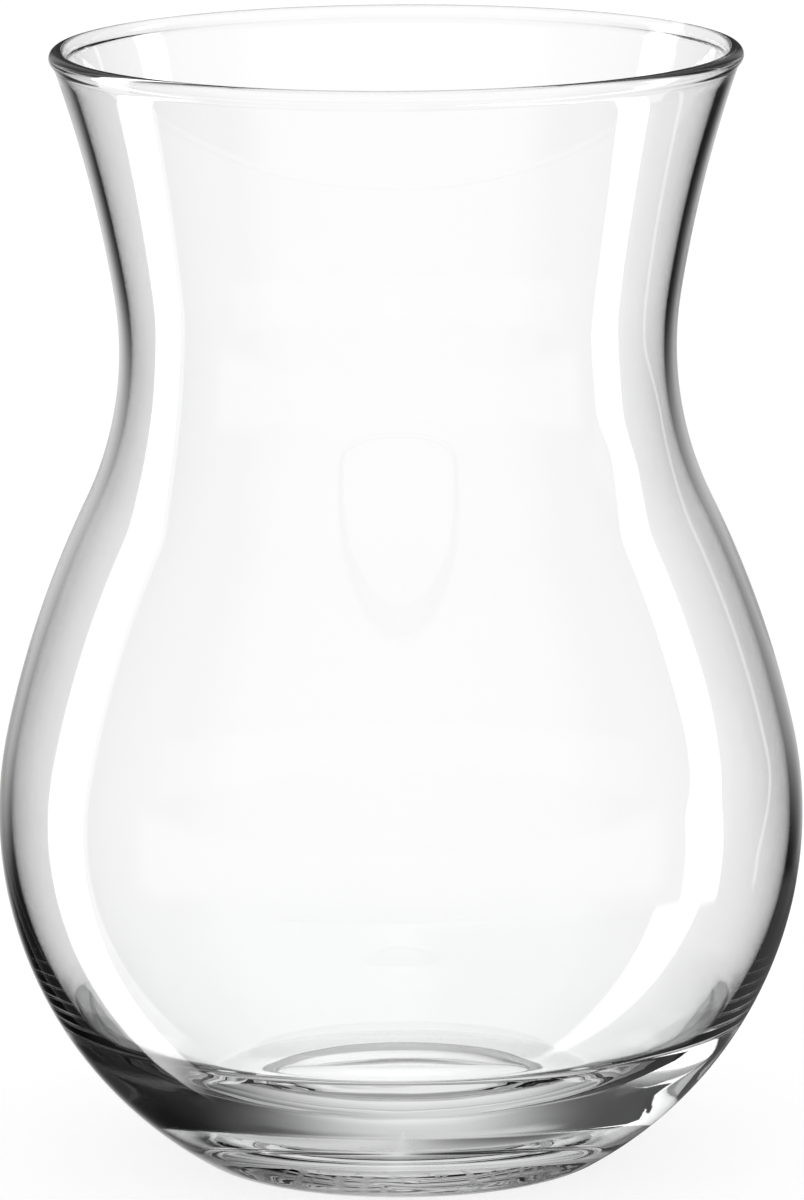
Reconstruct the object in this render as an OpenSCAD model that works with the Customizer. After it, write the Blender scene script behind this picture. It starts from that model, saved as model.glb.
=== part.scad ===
// Clear glass table vase: a round bowl under a drawn-in neck and a flared mouth,
// pressed and blown in one piece with a heavy base.
// It stands on z = 0, and its axis of revolution is the Z axis.

/* [Overall] */
// Height from the table to the top of the lip
height = 200; // [190:1:215]

/* [Bowl] */
// Radius of the bowl at its widest, which is also the radius of its round underside
bowl_r = 72; // [71:0.5:73.5]
// Height of the bowl's widest place
bowl_z = 62; // [60:0.5:64]
// How far above the widest place the round underside's arc runs on, in degrees
bowl_rise = 12.5; // [10:0.5:14]
// Steepest lean of the shoulder, in degrees from upright
shoulder_lean = 26; // [24:0.5:28.5]

/* [Neck and mouth] */
// Outside radius at the narrowest place
waist_r = 49.5; // [48:0.5:51]
// Height of the narrowest place
waist_z = 146.5; // [145:0.5:148]
// How far above the narrowest place the neck's arc runs on, in degrees
waist_rise = 9; // [7:0.5:11]
// Outside radius that the flare reaches at the full height
mouth_r = 61.5; // [60:0.5:63.5]

/* [Glass] */
// Thickness of the blown wall
wall = 2.2; // [1.8:0.1:2.6]
// Radius of the fire-polished bead that rounds the lip
lip_r = 1.5; // [1.4:0.05:1.8]
// Radius of the fillets between the bead and the wall
lip_fillet_r = 3; // [2:0.5:5]

/* [Base] */
// Thickness of the glass from the floor of the bowl to the table
floor_z = 12.7; // [11:0.1:14]
// Radius of the flat middle of the floor
floor_r = 27.7; // [25:0.1:30]
// Radius of the sweep that leads the floor up from its flat middle
floor_sweep_r = 36; // [32:0.5:40]
// Height at which the inside of the wall ends and the heel begins
heel_z = 29.5; // [28:0.5:31]
// Radius of the heel that turns the inside of the wall in to the floor
heel_r = 7.6; // [5:0.1:10]
// How much smaller the inside's radius is below the bowl's widest place than above it
wall_gain = 5.4; // [3:0.1:8]
// Radius of the rounded edge of the foot
foot_edge_r = 4; // [2:0.5:6]
// Radius of the shallow recess inside the foot's standing ring
recess_r = 24.5; // [22:0.5:28]
// Radius of the cove that runs round the recess's edge
cove_r = 1.6; // [0.8:0.1:2]
// Depth of the recess at its centre
recess_depth = 2.6; // [2.2:0.1:4]

/* [Hidden] */
$fn = 180;

glass_colour = [0.86, 0.90, 0.90, 0.45];

// Two arcs that run smoothly into each other are set this far apart, so that they cross
// at a clean point, and shapes that are joined lap over each other by more.
seam = 0.005;
lap = 2;

// The outline is a chain of arcs that run smoothly into each other. Going up from the
// widest place, the bowl's arc ends at bowl_rise, the shoulder's at shoulder_lean, the
// neck's at waist_rise past the waist, and the flare's at the lip.
bowl_centre = [0, bowl_z];

// The shoulder's and the neck's radii follow from where the waist lies. They are the
// solution of two equations, one for the radius and one for the height.
gap_r = bowl_r * cos(bowl_rise) - waist_r;
gap_z = waist_z - bowl_z - bowl_r * sin(bowl_rise);
shoulder_dr = cos(bowl_rise) - cos(shoulder_lean);
shoulder_dz = sin(shoulder_lean) - sin(bowl_rise);
neck_dr = 1 - cos(shoulder_lean);
neck_dz = sin(shoulder_lean);
solve = shoulder_dr * neck_dz - neck_dr * shoulder_dz;
shoulder_r = (gap_r * neck_dz - gap_z * neck_dr) / solve;
neck_r = (gap_z * shoulder_dr - gap_r * shoulder_dz) / solve;
shoulder_centre = bowl_centre + (bowl_r - shoulder_r) * [cos(bowl_rise), sin(bowl_rise)];
neck_centre = [waist_r + neck_r, waist_z];

// The flare's arc leaves the neck's arc smoothly and passes through the mouth.
flare_start = neck_centre + neck_r * [-cos(waist_rise), sin(waist_rise)];
flare_run = [mouth_r, height] - flare_start;
mouth_lean = 2 * atan2(flare_run.x, flare_run.y) - waist_rise;
flare_r = norm(flare_run) / (2 * sin((mouth_lean - waist_rise) / 2));
flare_centre = flare_start + flare_r * [cos(waist_rise), -sin(waist_rise)];

// The bead's centre lies in the middle of the wall, one bead radius under the top.
bead_z = height - lip_r;
bead_reach = flare_r + wall / 2;
bead_rise = asin((bead_z - flare_centre.y) / bead_reach);
bead_centre = flare_point(bead_reach, bead_rise);

// Distances of the lip's two fillets from the flare's centre
inner_fillet_reach = flare_r + wall + lip_fillet_r;
outer_fillet_reach = flare_r - lip_fillet_r;

// The foot's rounded edge touches the table and the bowl's round underside.
foot_edge_centre = [touching_x(bowl_r, foot_edge_r, bowl_z - foot_edge_r), foot_edge_r];
foot_edge_top = touching_y(foot_edge_centre, bowl_centre, bowl_r);

// Below the widest place the inside is an arc whose centre is moved outward, so that the
// wall thickens steadily on its way down to the heel.
low_wall_centre = [wall_gain, bowl_z];
low_wall_r = bowl_r - wall - wall_gain;
low_wall_fall = asin((bowl_z - heel_z) / low_wall_r);

// The heel touches the inside of the wall, and a straight slope touches both the heel and
// the floor's sweep.
heel_centre = low_wall_centre + (low_wall_r - heel_r) * [cos(low_wall_fall), -sin(low_wall_fall)];
floor_sweep_centre = [floor_r, floor_z + floor_sweep_r];
centres_run = heel_centre - floor_sweep_centre;
slope = atan2(centres_run.y, centres_run.x) + asin((floor_sweep_r - heel_r) / norm(centres_run));
slope_low = floor_sweep_centre + floor_sweep_r * [sin(slope), -cos(slope)];
slope_high = heel_centre + heel_r * [sin(slope), -cos(slope)];

// The recess's cove rises upright from the table and runs smoothly into a shallow dome.
cove_centre = [recess_r - cove_r, 0];
dome_r = (pow(cove_centre.x, 2) / (recess_depth - cove_r) + recess_depth + cove_r) / 2;
dome_centre = [0, recess_depth - dome_r];
dome_edge_r = cove_centre.x * dome_r / (dome_r - cove_r);

// How far from the axis a small arc's centre lies when the arc touches, from inside, a
// larger one whose centre is on the axis and higher by the given rise
function touching_x(large_r, small_r, rise) = sqrt(pow(large_r - small_r, 2) - pow(rise, 2));

// Height at which the two arcs touch
function touching_y(small_centre, large_centre, large_r) =
    large_centre.y
    + large_r * (small_centre.y - large_centre.y) / norm(small_centre - large_centre);

// Point at a distance from the flare's centre, at an angle above it
function flare_point(reach, angle) = flare_centre + reach * [-cos(angle), sin(angle)];

// Angle between two sides of a triangle, from their lengths and the third side's
function angle_between(a, b, third) = acos((a * a + b * b - third * third) / (2 * a * b));

// Angle above the flare's centre at which a fillet at a distance from it touches the bead
function fillet_rise(reach) =
    bead_rise - angle_between(bead_reach, reach, lip_r + lip_fillet_r);

// What an outward-swelling arc encloses between two heights
module swelling(centre, r, low, high) {
    intersection() {
        translate([0, low]) square([bowl_r + lap, high - low]);
        union() {
            translate(centre) circle(r);
            if (centre.x > 0) translate([0, low]) square([centre.x, high - low]);
        }
    }
}

// What an inward-drawn arc leaves between two heights
module drawn_in(centre, r, low, high) {
    difference() {
        translate([0, low]) square([centre.x, high - low]);
        translate(centre) circle(r);
    }
}

// The outline from the underside of the bowl up, moved in by an inset
module upper_outline(inset, low, high) {
    bowl_top = bowl_centre.y + (bowl_r - inset) * sin(bowl_rise);
    shoulder_top = shoulder_centre.y + (shoulder_r - inset) * sin(shoulder_lean);
    neck_top = neck_centre.y + (neck_r + inset) * sin(waist_rise);
    swelling(bowl_centre, bowl_r - inset, low, bowl_top + lap);
    swelling(shoulder_centre, shoulder_r - inset - seam, bowl_top, shoulder_top + lap);
    drawn_in(neck_centre, neck_r + inset + 2 * seam, shoulder_top, neck_top);
    drawn_in(flare_centre, flare_r + inset, neck_top - lap, high);
}

module outer_outline() {
    swelling(foot_edge_centre, foot_edge_r + seam, 0, foot_edge_top + lap / 2);
    upper_outline(0, foot_edge_top, bead_z);
}

// What lies above the straight slope
module slope_outline() {
    polygon([
        [0, slope_low.y],
        slope_low,
        slope_high,
        [slope_high.x, slope_high.y + lap],
        [0, slope_high.y + lap]
    ]);
}

module cavity_outline() {
    swelling(floor_sweep_centre, floor_sweep_r + seam, floor_z, slope_low.y + lap);
    slope_outline();
    swelling(heel_centre, heel_r + 2 * seam, slope_high.y - lap / 2, heel_z + lap);
    swelling(low_wall_centre, low_wall_r + seam, heel_z, bowl_z + 2 * lap);
    upper_outline(wall, bowl_z, height + lap);
}

// Recess inside the standing ring
module recess_outline() {
    translate(cove_centre) circle(cove_r + seam);
    intersection() {
        translate([0, -lap]) square([dome_edge_r, recess_depth + 2 * lap]);
        translate(dome_centre) circle(dome_r);
    }
}

// The bead, with a fillet on each side that leads it into the wall
module lip() {
    inside = flare_point(inner_fillet_reach, fillet_rise(inner_fillet_reach));
    outside = flare_point(outer_fillet_reach, fillet_rise(outer_fillet_reach));
    translate(bead_centre) circle(lip_r);
    difference() {
        polygon([
            bead_centre,
            inside,
            flare_point(bead_reach, fillet_rise(inner_fillet_reach)),
            flare_point(bead_reach, fillet_rise(outer_fillet_reach)),
            outside
        ]);
        translate(inside) circle(lip_fillet_r + seam);
        translate(outside) circle(lip_fillet_r + seam);
    }
}

module glass_outline() {
    difference() {
        outer_outline();
        cavity_outline();
        recess_outline();
    }
    lip();
}

module glass_body() {
    color(glass_colour) rotate_extrude() glass_outline();
}

glass_body();
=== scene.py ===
from functools import reduce
from math import acos, asin, atan2, cos, hypot, pi, radians, sin, sqrt

import bpy
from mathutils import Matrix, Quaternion, Vector


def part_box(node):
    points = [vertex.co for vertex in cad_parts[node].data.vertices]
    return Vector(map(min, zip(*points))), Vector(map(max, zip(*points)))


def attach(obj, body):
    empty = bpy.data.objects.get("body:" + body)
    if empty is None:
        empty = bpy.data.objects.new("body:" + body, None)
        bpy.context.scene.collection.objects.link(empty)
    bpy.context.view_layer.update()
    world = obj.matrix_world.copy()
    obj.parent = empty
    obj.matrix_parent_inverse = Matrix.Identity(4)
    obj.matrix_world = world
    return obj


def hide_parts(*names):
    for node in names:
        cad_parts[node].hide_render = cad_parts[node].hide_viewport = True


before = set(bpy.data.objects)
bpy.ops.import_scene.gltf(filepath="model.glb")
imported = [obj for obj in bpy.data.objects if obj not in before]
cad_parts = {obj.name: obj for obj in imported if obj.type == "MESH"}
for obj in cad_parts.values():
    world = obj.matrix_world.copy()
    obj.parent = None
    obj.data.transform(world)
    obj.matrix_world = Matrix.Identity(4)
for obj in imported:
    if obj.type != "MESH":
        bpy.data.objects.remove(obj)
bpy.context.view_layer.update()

# Sizes of the glass in millimetres, as the solid has them
MM = 0.001
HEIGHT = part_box("glass_body")[1].z / MM
BOWL_R = 72.0
BOWL_Z = 62.0
BOWL_RISE = radians(12.5)
SHOULDER_LEAN = radians(26)
WAIST_R = 49.5
WAIST_Z = 146.5
WAIST_RISE = radians(9)
MOUTH_R = 61.5
WALL = 2.2
LIP_R = 1.5
LIP_FILLET_R = 3.0
FLOOR_Z = 12.7
FLOOR_R = 27.7
FLOOR_SWEEP_R = 36.0
HEEL_Z = 29.5
HEEL_R = 7.6
WALL_GAIN = 5.4
FOOT_EDGE_R = 4.0
RECESS_R = 24.5
COVE_R = 1.6
RECESS_DEPTH = 2.6

# How finely the glass is divided
AROUND = 256
LONGEST_STEP = 2.0
LARGEST_TURN = radians(7.5)

# The glass. Its relief is in millimetres for one unit of noise.
GLASS_IOR = 1.52
THIN_COLOUR = (0.998, 0.999, 0.9985, 1)
THICK_COLOUR = (0.980, 0.992, 0.987, 1)
PRESSED_TO_BLOWN = (20 * MM, 44 * MM)
RELIEF = 0.03
WAVES_TO_LINES = 4.0
SCUFFED_TO_CLEAR = (0.02 * MM, 0.25 * MM)
SCUFF_NOISE = (0.45, 0.75)
SCUFF_ROUGHNESS = 0.25

# Directions in the studio are turns off straight behind the vase, positive to the right, and
# the sine of the angle above the horizon, which the names call Z. Levels are shares of white.

# The backdrop: its half-width, which grows with height, and how far to the left it stands
BACKDROP_FOOT = radians(8)
BACKDROP_REACH = radians(22)
BACKDROP_REACH_IN_BASE = radians(17)
BACKDROP_REACH_Z = (-0.36, -0.02)
BACKDROP_FLARE = radians(130)
BACKDROP_FLARE_FROM_Z = 0.28
BACKDROP_FLARE_POWER = 1.7
BACKDROP_LEFT = radians(3)
BACKDROP_LEFT_HIGH = radians(11)
BACKDROP_LEFT_Z = (0.28, 0.4)
BACKDROP_FALL = 2.0
BACKDROP_FALL_IN_BASE = 2.8

# The backdrop's level low down, in the middle and high up
BACKDROP_LOW = 0.72
BACKDROP_LOW_IN_BASE = 0.84
BACKDROP_MIDDLE = 0.69
BACKDROP_MIDDLE_Z = (0.05, 0.15)
BACKDROP_HIGH = 0.88
BACKDROP_HIGH_Z = (0.5, 0.7)
BACKDROP_WHITE_Z = (-0.05, 0.1)

# What shades the backdrop: the table's far edge, and a wall of the base in front of it
TABLE_EDGE_SHADE = 0.06
TABLE_EDGE_Z = (-0.1, 0.0)
TABLE_EDGE_TURN = (radians(8), radians(20))
FAR_WALL_SHADE = 0.4
FAR_WALL_Z = (-0.4, -0.28)

# A pale haze on the left, and the least that any direction gives
HAZE = 0.056
HAZE_TURN = (radians(-60), radians(-38))
HAZE_EDGE = radians(10)
DARKEST = 0.01

# The room, as the outer face mirrors it
ROOM_BESIDE = 0.5
ROOM_BESIDE_TURN = (radians(60), radians(105))
ROOM_BEHIND = 0.16
ROOM_BEHIND_TURN = (radians(100), radians(180))

# The room, as it is seen through the glass
OVERHEAD = 0.4
OVERHEAD_Z = (0.68, 0.88)
LOW_ROOM = 0.8
LOW_ROOM_Z = (-0.28, 0.03)
LOW_ROOM_EDGE_Z = 0.05
LOW_ROOM_TURN = (radians(94), radians(104))
OPPOSITE = 0.68
OPPOSITE_TURN = (radians(108), radians(132))
OPPOSITE_HIGH_SHARE = 0.5
OPPOSITE_HIGH_Z = (0.5, 0.8)
PAST_WALLS = 0.62
PAST_WALLS_TURN = (radians(130), radians(150))

# Light that runs on and on in the base: the share of it that comes out, and what is added
TRAPPED_SHARE = 0.4
TRAPPED_LEAST = 0.03
TRAPPED_HIGH = 0.2
TRAPPED_HIGH_Z = (0.82, 0.92)

# The soft boxes. A turn given twice or three times is for the heights from low to high.
BOX_FOOT_Z = (-0.84, -0.72)
BOX_TOP_Z = (0.42, 0.54)
BOX_HIGHER_IN_BASE = 0.1
BOX_EDGE = radians(0.8)
LEFT_BOX = 5.0
LEFT_BOX_INSIDE = 1.6
LEFT_BOX_LOST_IN_WALL = 0.85
LEFT_BOX_FAR = radians(-77.6)
LEFT_BOX_NEAR = radians(-60.3)
LEFT_BOX_FAR_IN_BASE = (radians(-87), radians(-108))
LEFT_BOX_NEAR_IN_BASE = (radians(-54), radians(-60.3))
LEFT_BOX_IN_BASE_Z = (0.03, 0.12)
RIGHT_BOX = 5.6
RIGHT_BOX_NEAR = (radians(74), radians(76.5), radians(71.8))
RIGHT_BOX_FAR = (radians(88.5), radians(92), radians(85.8))
RIGHT_BOX_LOW_Z = (-0.5, -0.3)
RIGHT_BOX_HIGH_Z = (-0.05, 0.16)
THIN_BOX = 0.96
THIN_BOX_TURN = (radians(57), radians(47))
THIN_BOX_HIGH_Z = (-0.24, -0.05)
THIN_BOX_EDGE = (radians(0.4), radians(1.8))

# How often a ray was mirrored and how many faces of the glass it passed, as ranges for a step
MIRRORED_AGAIN = (1.2, 1.8)
MIRRORED_ON_AND_ON = (6.2, 6.8)
THROUGH_GLASS = (0.5, 1.5)
THROUGH_NEAR_WALL = (2.5, 3.5)
THROUGH_SECOND_WALL = (2.8, 3.6)
THROUGH_FAR_WALL = (3.0, 3.8)
THROUGH_MANY_WALLS = (4.6, 5.4)

# The table, and beside the vase the painted reflection of it that the outer face mirrors: a dim
# painted glow
TABLE_COLOUR = (0.24, 0.24, 0.24, 1)
TABLE_GLOW = 0.8
TABLE_R = 3.0
TABLE_DROP = 0.1 * MM
PAINTED_TABLE_GLOW = 0.12
PAINTED_TABLE_GLOW_X = (0, 30 * MM)
PAINTED_TABLE_GLOW_R = (200 * MM, 240 * MM)

# The painted streak of light on the mirrored table, a glow in place of the soft box's light: the
# slope and the start of its two straight edges
PAINTED_STREAK = 5.4
PAINTED_STREAK_FAR_EDGE = (0.22, -78 * MM)
PAINTED_STREAK_NEAR_EDGE = (-0.125, -64 * MM)
PAINTED_STREAK_SOFTNESS = (-2 * MM, 2 * MM)

# The camera, in metres, with its lens in millimetres
LENS = 250.8
CAMERA_AT = Vector((0, -1.4648, 0.3875))
CAMERA_AIM = Vector((0.00043, 0, 0.1005))
CAMERA_ROLL = radians(-0.36)
CLIP_END = 20

# Light is followed this often through the faces of the thick base
BOUNCES = 32


def towards(centre, r, angle):
    """Point at a distance from a centre, at an angle above the outward level direction"""
    return (centre[0] + r * cos(angle), centre[1] + r * sin(angle))


def arc(centre, r, start, end):
    """Points along an arc, without its last point"""
    length = abs(end - start) * r
    count = max(1, round(max(length / LONGEST_STEP, abs(end - start) / LARGEST_TURN)))
    return [towards(centre, r, start + (end - start) * i / count) for i in range(count)]


def line(start, end):
    """Points along a straight stretch, without its last point"""
    count = max(1, round(hypot(end[0] - start[0], end[1] - start[1]) / LONGEST_STEP))
    return [
        (start[0] + (end[0] - start[0]) * i / count, start[1] + (end[1] - start[1]) * i / count)
        for i in range(count)
    ]


def angle_between(a, b, third):
    """Angle between two sides of a triangle, from their lengths and the third side's"""
    return acos((a * a + b * b - third * third) / (2 * a * b))


def direction(start, end):
    """Angle of the way from one point to another"""
    return atan2(end[1] - start[1], end[0] - start[0])


def glass_profile():
    """Outline of half the glass, from the middle of the recess round to the middle of the floor"""
    bowl = (0, BOWL_Z)
    gap_r = BOWL_R * cos(BOWL_RISE) - WAIST_R
    gap_z = WAIST_Z - BOWL_Z - BOWL_R * sin(BOWL_RISE)
    shoulder_dr = cos(BOWL_RISE) - cos(SHOULDER_LEAN)
    shoulder_dz = sin(SHOULDER_LEAN) - sin(BOWL_RISE)
    neck_dr = 1 - cos(SHOULDER_LEAN)
    neck_dz = sin(SHOULDER_LEAN)
    solve = shoulder_dr * neck_dz - neck_dr * shoulder_dz
    shoulder_r = (gap_r * neck_dz - gap_z * neck_dr) / solve
    neck_r = (gap_z * shoulder_dr - gap_r * shoulder_dz) / solve
    shoulder = towards(bowl, BOWL_R - shoulder_r, BOWL_RISE)
    neck = (WAIST_R + neck_r, WAIST_Z)

    flare_start = towards(neck, neck_r, pi - WAIST_RISE)
    run = (MOUTH_R - flare_start[0], HEIGHT - flare_start[1])
    mouth_lean = 2 * atan2(*run) - WAIST_RISE
    flare_r = hypot(*run) / (2 * sin((mouth_lean - WAIST_RISE) / 2))
    flare = towards(flare_start, flare_r, -WAIST_RISE)

    bead_reach = flare_r + WALL / 2
    bead_rise = asin((HEIGHT - LIP_R - flare[1]) / bead_reach)
    bead = towards(flare, bead_reach, pi - bead_rise)
    outer_reach = flare_r - LIP_FILLET_R
    inner_reach = flare_r + WALL + LIP_FILLET_R
    outer_rise = bead_rise - angle_between(bead_reach, outer_reach, LIP_R + LIP_FILLET_R)
    inner_rise = bead_rise - angle_between(bead_reach, inner_reach, LIP_R + LIP_FILLET_R)
    outer_fillet = towards(flare, outer_reach, pi - outer_rise)
    inner_fillet = towards(flare, inner_reach, pi - inner_rise)

    foot_x = sqrt((BOWL_R - FOOT_EDGE_R) ** 2 - (BOWL_Z - FOOT_EDGE_R) ** 2)
    foot = (foot_x, FOOT_EDGE_R)
    foot_angle = direction(bowl, foot)

    inner_r = BOWL_R - WALL
    low_wall = (WALL_GAIN, BOWL_Z)
    low_wall_r = inner_r - WALL_GAIN
    heel_angle = -asin((BOWL_Z - HEEL_Z) / low_wall_r)
    heel = towards(low_wall, low_wall_r - HEEL_R, heel_angle)
    edge = (FLOOR_R, FLOOR_Z + FLOOR_SWEEP_R)
    lean = asin((HEEL_R - FLOOR_SWEEP_R) / hypot(heel[0] - edge[0], heel[1] - edge[1]))
    slope_angle = direction(edge, heel) - lean - pi / 2

    cove = (RECESS_R - COVE_R, 0)
    dome_r = (cove[0] ** 2 / (RECESS_DEPTH - COVE_R) + RECESS_DEPTH + COVE_R) / 2
    dome = (0, RECESS_DEPTH - dome_r)
    cove_angle = direction(dome, cove)

    points = arc(dome, dome_r, pi / 2, cove_angle)
    points += arc(cove, COVE_R, cove_angle, 0)
    points += line((RECESS_R, 0), (foot_x, 0))
    points += arc(foot, FOOT_EDGE_R, -pi / 2, foot_angle)
    points += arc(bowl, BOWL_R, foot_angle, BOWL_RISE)
    points += arc(shoulder, shoulder_r, BOWL_RISE, SHOULDER_LEAN)
    points += arc(neck, neck_r, pi + SHOULDER_LEAN, pi - WAIST_RISE)
    points += arc(flare, flare_r, pi - WAIST_RISE, pi - outer_rise)
    points += arc(outer_fillet, LIP_FILLET_R, pi - outer_rise, direction(outer_fillet, bead))
    points += arc(bead, LIP_R, direction(bead, outer_fillet), direction(bead, inner_fillet) + 2 * pi)
    points += arc(inner_fillet, LIP_FILLET_R, direction(inner_fillet, bead), -inner_rise)
    points += arc(flare, flare_r + WALL, pi - inner_rise, pi - WAIST_RISE)
    points += arc(neck, neck_r + WALL, pi - WAIST_RISE, pi + SHOULDER_LEAN)
    points += arc(shoulder, shoulder_r - WALL, SHOULDER_LEAN, BOWL_RISE)
    points += arc(bowl, inner_r, BOWL_RISE, 0)
    points += arc(low_wall, low_wall_r, 0, heel_angle)
    points += arc(heel, HEEL_R, heel_angle, slope_angle)
    points += line(towards(heel, HEEL_R, slope_angle), towards(edge, FLOOR_SWEEP_R, slope_angle))
    points += arc(edge, FLOOR_SWEEP_R, slope_angle, -pi / 2)
    points += line((FLOOR_R, FLOOR_Z), (0, FLOOR_Z))
    points.append((0, FLOOR_Z))
    return points


def revolved(name, profile):
    """Closed mesh of a profile turned round the axis. Its two ends lie on the axis."""
    rings = [(r * MM, z * MM) for r, z in profile[1:-1]]
    verts = [(0, 0, profile[0][1] * MM), (0, 0, profile[-1][1] * MM)]
    for r, z in rings:
        verts += [
            (r * cos(2 * pi * i / AROUND), r * sin(2 * pi * i / AROUND), z)
            for i in range(AROUND)
        ]
    faces = []
    last = 2 + (len(rings) - 1) * AROUND
    for i in range(AROUND):
        j = (i + 1) % AROUND
        faces.append((0, 2 + j, 2 + i))
        faces.append((1, last + i, last + j))
        for ring in range(len(rings) - 1):
            a = 2 + ring * AROUND
            b = a + AROUND
            faces.append((a + i, a + j, b + j, b + i))
    mesh = bpy.data.meshes.new(name)
    mesh.from_pydata(verts, [], faces)
    mesh.polygons.foreach_set("use_smooth", [True] * len(mesh.polygons))
    mesh.validate()
    obj = bpy.data.objects.new(name, mesh)
    bpy.context.scene.collection.objects.link(obj)
    return obj


class Nodes:
    """Short calls for building a node tree"""

    def __init__(self, tree):
        self.tree = tree
        tree.nodes.clear()

    def add(self, kind, **settings):
        node = self.tree.nodes.new(kind)
        for name, value in settings.items():
            setattr(node, name, value)
        return node

    def join(self, value, socket):
        """Link a socket to another, or write a number or colour on it"""
        if isinstance(value, bpy.types.NodeSocket):
            self.tree.links.new(value, socket)
        else:
            socket.default_value = value

    def output(self, kind, surface):
        """The node that ends the tree"""
        self.join(surface, self.add(kind).inputs["Surface"])

    def axes(self, place):
        """The x, y and z of a vector"""
        split = self.add("ShaderNodeSeparateXYZ")
        self.join(place, split.inputs[0])
        return split.outputs

    def math(self, operation, a, b=0.0):
        node = self.add("ShaderNodeMath", operation=operation)
        self.join(a, node.inputs[0])
        self.join(b, node.inputs[1])
        return node.outputs[0]

    def times(self, *values):
        return reduce(lambda a, b: self.math("MULTIPLY", a, b), values)

    def plus(self, *values):
        return reduce(lambda a, b: self.math("ADD", a, b), values)

    def minus(self, a, b):
        return self.math("SUBTRACT", a, b)

    def most(self, *values):
        """The largest of the values"""
        return reduce(lambda a, b: self.math("MAXIMUM", a, b), values)

    def rest(self, share):
        """What a share leaves of 1"""
        return self.minus(1.0, share)

    def step(self, value, low, high):
        """Smooth rise from 0 at low to 1 at high"""
        node = self.add("ShaderNodeMapRange", interpolation_type="SMOOTHSTEP")
        self.join(value, node.inputs["Value"])
        node.inputs["From Min"].default_value = low
        node.inputs["From Max"].default_value = high
        return node.outputs["Result"]

    def band(self, value, low, high, soft):
        """1 between low and high, with soft edges, and 0 elsewhere"""
        rise = self.step(self.minus(value, low), -soft, soft)
        fall = self.step(self.minus(value, high), -soft, soft)
        return self.minus(rise, fall)

    def mix(self, share, a, b):
        """a where share is 0, and b where it is 1"""
        return self.plus(self.times(self.rest(share), a), self.times(share, b))

    def blend(self, share, a, b):
        """The same for two shaders"""
        node = self.add("ShaderNodeMixShader")
        self.join(share, node.inputs[0])
        self.join(a, node.inputs[1])
        self.join(b, node.inputs[2])
        return node.outputs[0]

    def noise(self, place, scale, detail, stretch=(1, 1, 1)):
        """Noise between 0 and 1 over the glass, closer together where stretch is larger"""
        mapping = self.add("ShaderNodeMapping")
        mapping.inputs["Scale"].default_value = stretch
        self.join(place, mapping.inputs["Vector"])
        node = self.add("ShaderNodeTexNoise")
        node.inputs["Scale"].default_value = scale
        node.inputs["Detail"].default_value = detail
        self.join(mapping.outputs["Vector"], node.inputs["Vector"])
        return node.outputs[0]


def clear_glass():
    """Colourless soda-lime glass: fire-polished and slightly wavy, with flow lines low in the
    base where it was pressed, and a standing ring that is finely scuffed from use"""
    material = bpy.data.materials.new("clear_glass")
    material.use_nodes = True
    n = Nodes(material.node_tree)
    shader = n.add("ShaderNodeBsdfPrincipled")
    shader.inputs["IOR"].default_value = GLASS_IOR
    shader.inputs["Transmission Weight"].default_value = 1.0

    place = n.add("ShaderNodeTexCoord").outputs["Object"]
    height = n.axes(place)["Z"]
    pressed = n.rest(n.step(height, *PRESSED_TO_BLOWN))

    # Waves of the blown wall, a few centimetres long and a few hundredths of a millimetre high
    waves = n.noise(place, scale=22, detail=1.0, stretch=(1, 1, 0.6))
    # Flow lines in the base, drawn out round it
    lines = n.noise(place, scale=60, detail=1.0, stretch=(1, 1, 3))
    relief = n.plus(n.times(waves, WAVES_TO_LINES), n.times(lines, pressed))
    bump = n.add("ShaderNodeBump")
    bump.inputs["Strength"].default_value = 1.0
    bump.inputs["Distance"].default_value = RELIEF * MM
    n.join(relief, bump.inputs["Height"])
    n.join(bump.outputs["Normal"], shader.inputs["Normal"])

    # The thick base has a breath of green, as the iron in common glass gives it
    tint = n.add("ShaderNodeMix", data_type="RGBA")
    tint.inputs["A"].default_value = THIN_COLOUR
    tint.inputs["B"].default_value = THICK_COLOUR
    n.join(n.times(pressed, n.noise(place, scale=30, detail=0.0)), tint.inputs["Factor"])
    n.join(tint.outputs["Result"], shader.inputs["Base Color"])

    # Scuffs on the face that the vase stands on
    low = n.rest(n.step(height, *SCUFFED_TO_CLEAR))
    scuffs = n.step(n.noise(place, scale=900, detail=3.0), *SCUFF_NOISE)
    n.join(n.times(low, scuffs, SCUFF_ROUGHNESS), shader.inputs["Roughness"])

    n.output("ShaderNodeOutputMaterial", shader.outputs[0])
    return material


class Ray:
    """Where a ray goes to in the studio, and how it came, as sockets of the world's nodes"""

    def __init__(self, n):
        x, y, self.z = n.axes(n.add("ShaderNodeTexCoord").outputs["Generated"])
        # The turn is positive to the right, and the side is the same without its sign
        self.turn = n.math("ARCTAN2", x, y)
        self.side = n.math("ABSOLUTE", self.turn)

        path = n.add("ShaderNodeLightPath")
        self.mirrors = path.outputs["Glossy Depth"]
        self.through = path.outputs["Transmission Depth"]
        # Most rays are mirrored once, and those in the base again
        self.again = n.step(self.mirrors, *MIRRORED_AGAIN)
        self.once = n.rest(self.again)
        # Rays that never entered the glass come off its outer face, and the others from inside
        self.inside = n.step(self.through, *THROUGH_GLASS)
        self.outside = n.rest(self.inside)


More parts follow.
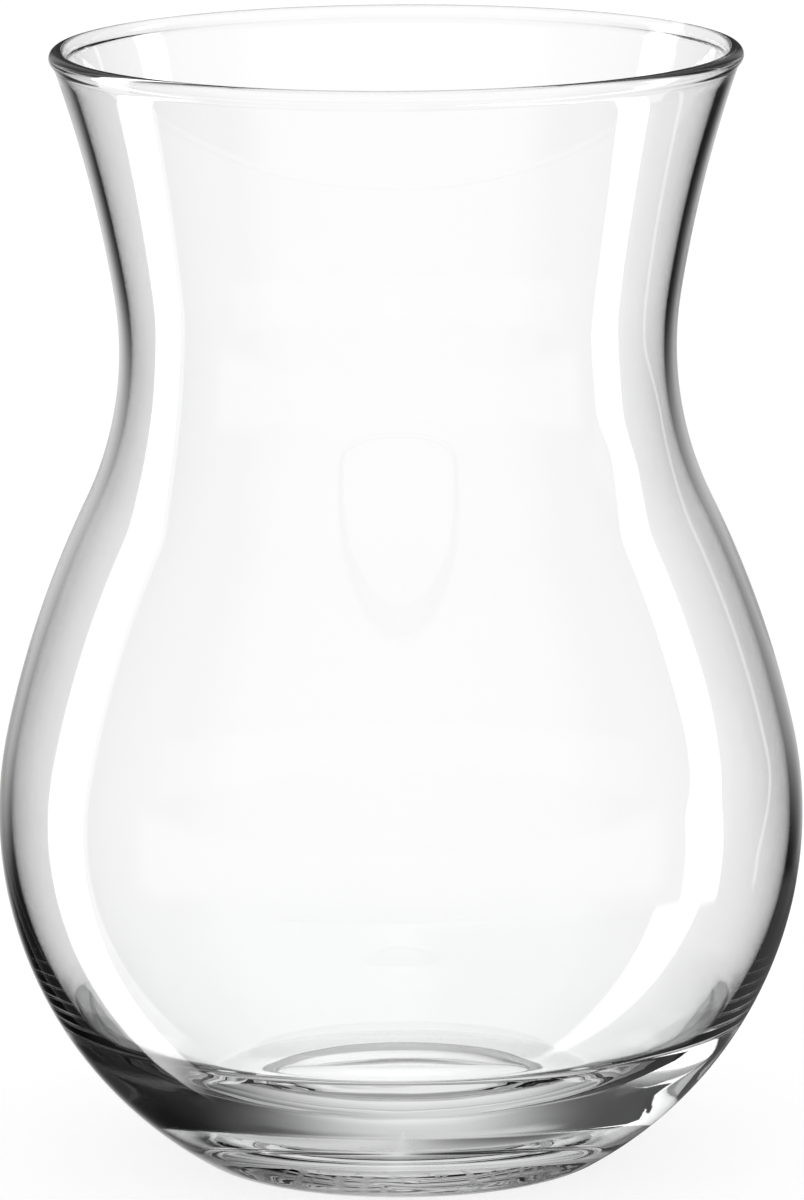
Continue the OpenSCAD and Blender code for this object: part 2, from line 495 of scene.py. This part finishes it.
def backdrop_light(n, ray):
    """The lit backdrop stands a little to the left and is wider the higher it reaches"""
    z = ray.z
    reach = n.mix(ray.again, BACKDROP_REACH, BACKDROP_REACH_IN_BASE)
    reach = n.times(n.step(z, *BACKDROP_REACH_Z), reach)
    above = n.most(n.minus(z, BACKDROP_FLARE_FROM_Z), 0.0)
    flare = n.times(n.math("POWER", above, BACKDROP_FLARE_POWER), BACKDROP_FLARE)
    half_width = n.plus(reach, BACKDROP_FOOT, flare)
    high_in_base = n.times(ray.again, n.step(z, *BACKDROP_LEFT_Z))
    left = n.mix(high_in_base, BACKDROP_LEFT, BACKDROP_LEFT_HIGH)
    ratio = n.math("ABSOLUTE", n.math("DIVIDE", n.plus(ray.turn, left), half_width))
    fall = n.math("POWER", ratio, n.mix(ray.again, BACKDROP_FALL, BACKDROP_FALL_IN_BASE))
    shape = n.math("EXPONENT", n.times(fall, -1.0))

    low = n.mix(ray.again, BACKDROP_LOW, BACKDROP_LOW_IN_BASE)
    high = n.mix(n.step(z, *BACKDROP_HIGH_Z), BACKDROP_MIDDLE, BACKDROP_HIGH)
    level = n.mix(n.step(z, *BACKDROP_MIDDLE_Z), low, high)
    white = n.times(ray.once, ray.inside, n.step(z, *BACKDROP_WHITE_Z))
    level = n.mix(white, level, 1.0)

    # Above the table's far edge it is dark for the outer face, which gives the lip its line
    above_edge = n.times(n.step(z, *TABLE_EDGE_Z), n.rest(n.step(ray.side, *TABLE_EDGE_TURN)))
    level = n.mix(n.times(ray.outside, above_edge), level, TABLE_EDGE_SHADE)

    # Edges in the base stay dark, where the backdrop is mirrored again behind a wall
    behind_wall = n.times(n.step(ray.through, *THROUGH_FAR_WALL), n.step(z, *FAR_WALL_Z))
    shade = n.mix(n.times(behind_wall, ray.again), 1.0, FAR_WALL_SHADE)
    return n.times(shape, level, shade)


def room_light(n, ray, deep):
    """The room beside and behind the camera is pale. What is seen through the glass has dark
    screens at the sides, and the room overhead, low down and behind the camera."""
    z = ray.z
    side = ray.side
    beside = n.times(n.step(side, *ROOM_BESIDE_TURN), ROOM_BESIDE)
    behind = n.times(n.step(side, *ROOM_BEHIND_TURN), ROOM_BEHIND)

    overhead = n.times(n.step(z, *OVERHEAD_Z), OVERHEAD)
    low_down = n.band(z, *LOW_ROOM_Z, LOW_ROOM_EDGE_Z)
    low_room = n.times(low_down, n.step(side, *LOW_ROOM_TURN), LOW_ROOM)
    opposite = n.times(n.step(side, *OPPOSITE_TURN), ray.once, OPPOSITE)
    opposite = n.times(opposite, n.mix(n.step(z, *OPPOSITE_HIGH_Z), 1.0, OPPOSITE_HIGH_SHARE))
    second_wall = n.times(ray.once, n.step(ray.through, *THROUGH_SECOND_WALL))
    past_walls = n.times(n.most(second_wall, deep), PAST_WALLS)
    glimpse = n.most(n.plus(overhead, low_room), opposite, past_walls)
    return n.plus(n.times(n.plus(beside, behind), ray.outside), n.times(glimpse, ray.inside))


def box_light(n, ray):
    """Tall soft boxes, one on the left, and on the right a wide and a thin one"""
    z = ray.z
    lowered = n.minus(z, n.times(ray.again, BOX_HIGHER_IN_BASE))
    tall = n.minus(n.step(z, *BOX_FOOT_Z), n.step(lowered, *BOX_TOP_Z))

    left_high = n.step(z, *LEFT_BOX_IN_BASE_Z)
    left_far = n.mix(ray.again, LEFT_BOX_FAR, n.mix(left_high, *LEFT_BOX_FAR_IN_BASE))
    left_near = n.mix(ray.again, LEFT_BOX_NEAR, n.mix(left_high, *LEFT_BOX_NEAR_IN_BASE))
    kept = n.rest(n.times(n.step(ray.through, *THROUGH_NEAR_WALL), LEFT_BOX_LOST_IN_WALL))
    left_level = n.mix(ray.inside, LEFT_BOX, LEFT_BOX_INSIDE)
    left = n.times(n.band(ray.turn, left_far, left_near, BOX_EDGE), kept, left_level)

    right_low = n.step(z, *RIGHT_BOX_LOW_Z)
    right_high = n.step(z, *RIGHT_BOX_HIGH_Z)
    right_near, right_far = (
        n.mix(right_high, n.mix(right_low, lowest, low), high)
        for lowest, low, high in (RIGHT_BOX_NEAR, RIGHT_BOX_FAR)
    )
    right = n.times(n.band(ray.turn, right_near, right_far, BOX_EDGE), RIGHT_BOX)

    thin_turn = n.mix(n.step(z, *THIN_BOX_HIGH_Z), *THIN_BOX_TURN)
    thin_off = n.math("ABSOLUTE", n.minus(ray.turn, thin_turn))
    thin = n.times(n.rest(n.step(thin_off, *THIN_BOX_EDGE)), THIN_BOX)
    return n.times(n.plus(left, n.times(n.plus(right, thin), ray.outside)), tall)


def studio_world():
    """White all round, and for what the glass mirrors, a studio with tall soft boxes"""
    world = bpy.data.worlds.new("studio")
    bpy.context.scene.world = world
    world.use_nodes = True
    n = Nodes(world.node_tree)
    ray = Ray(n)

    # Deep rays come back out to the camera's side after many walls
    deep = n.times(n.step(ray.through, *THROUGH_MANY_WALLS), n.step(ray.side, *PAST_WALLS_TURN))
    haze = n.times(n.band(ray.turn, *HAZE_TURN, HAZE_EDGE), HAZE)
    surroundings = n.plus(backdrop_light(n, ray), haze, room_light(n, ray, deep), DARKEST)
    studio = n.plus(surroundings, box_light(n, ray))

    # Light that runs on and on between the faces of the base comes out dimmer
    high = n.times(n.step(ray.z, *TRAPPED_HIGH_Z), TRAPPED_HIGH)
    trapped = n.plus(n.times(studio, TRAPPED_SHARE), TRAPPED_LEAST, high)
    shut_in = n.times(n.step(ray.mirrors, *MIRRORED_ON_AND_ON), n.rest(deep))
    studio = n.mix(shut_in, studio, trapped)

    mirrored = n.math("MINIMUM", ray.mirrors, 1.0)
    background = n.add("ShaderNodeBackground")
    background.inputs["Color"].default_value = (1, 1, 1, 1)
    n.join(n.mix(mirrored, 1.0, studio), background.inputs["Strength"])
    n.output("ShaderNodeOutputWorld", background.outputs[0])


def painted_table_reflection(n, outside):
    """Shader for what the glass mirrors of the table. Its outer face sees, on the right beside the
    vase, a painted reflection of the table: a dim painted glow, with a painted streak of light in
    place of the light that the soft box would lay there. Else it is clear."""
    x, y, _ = n.axes(n.add("ShaderNodeTexCoord").outputs["Object"])
    away = n.math("SQRT", n.plus(n.times(x, x), n.times(y, y)))
    right = n.step(x, *PAINTED_TABLE_GLOW_X)
    beside = n.times(right, n.rest(n.step(away, *PAINTED_TABLE_GLOW_R)), outside)
    # The streak of light is painted on as glow, between two straight edges on the table
    far_edge, near_edge = (
        n.plus(n.times(x, slope), start) for slope, start in (PAINTED_STREAK_FAR_EDGE, PAINTED_STREAK_NEAR_EDGE)
    )
    before_far = n.step(n.minus(far_edge, y), *PAINTED_STREAK_SOFTNESS)
    past_near = n.step(n.minus(y, near_edge), *PAINTED_STREAK_SOFTNESS)
    # The table's reflection is painted: a dim glow, with the painted streak of light added to it
    lit = n.add("ShaderNodeEmission")
    n.join(n.plus(n.times(before_far, past_near, PAINTED_STREAK), PAINTED_TABLE_GLOW), lit.inputs["Strength"])
    clear = n.add("ShaderNodeBsdfTransparent")
    return n.blend(beside, clear.outputs[0], lit.outputs[0])


def pale_floor():
    """White table top. What the glass mirrors mostly sees past it, to the studio's lower half."""
    material = bpy.data.materials.new("white_table")
    material.use_nodes = True
    n = Nodes(material.node_tree)
    diffuse = n.add("ShaderNodeBsdfDiffuse")
    diffuse.inputs["Color"].default_value = TABLE_COLOUR
    glow = n.add("ShaderNodeEmission")
    glow.inputs["Strength"].default_value = TABLE_GLOW
    both = n.add("ShaderNodeAddShader")
    n.join(diffuse.outputs[0], both.inputs[0])
    n.join(glow.outputs[0], both.inputs[1])

    path = n.add("ShaderNodeLightPath")
    mirrored = n.math("MINIMUM", path.outputs["Glossy Depth"], 1.0)
    outside = n.rest(n.math("MINIMUM", path.outputs["Transmission Depth"], 1.0))
    surface = n.blend(mirrored, both.outputs[0], painted_table_reflection(n, outside))
    n.output("ShaderNodeOutputMaterial", surface)
    material.cycles.emission_sampling = "NONE"

    bpy.ops.mesh.primitive_circle_add(
        vertices=128, radius=TABLE_R, fill_type="NGON", location=(0, 0, -TABLE_DROP)
    )
    floor = bpy.context.object
    floor.name = "floor"
    floor.data.materials.append(material)


def camera():
    """Long lens that looks down on the vase a little, with the photograph's slight roll"""
    data = bpy.data.cameras.new("camera")
    data.lens = LENS
    data.clip_end = CLIP_END
    obj = bpy.data.objects.new("camera", data)
    obj.location = CAMERA_AT
    facing = (CAMERA_AIM - CAMERA_AT).to_track_quat("-Z", "Y")
    obj.rotation_euler = (facing @ Quaternion((0, 0, 1), CAMERA_ROLL)).to_euler()
    bpy.context.scene.collection.objects.link(obj)
    bpy.context.scene.camera = obj


scene = bpy.context.scene
scene.view_settings.view_transform = "Standard"
scene.cycles.max_bounces = BOUNCES
scene.cycles.transmission_bounces = BOUNCES
scene.cycles.glossy_bounces = BOUNCES

camera()
studio_world()
pale_floor()

vase = revolved("vase_glass", glass_profile())
vase.data.materials.append(clear_glass())
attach(vase, "root")
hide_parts("glass_body")
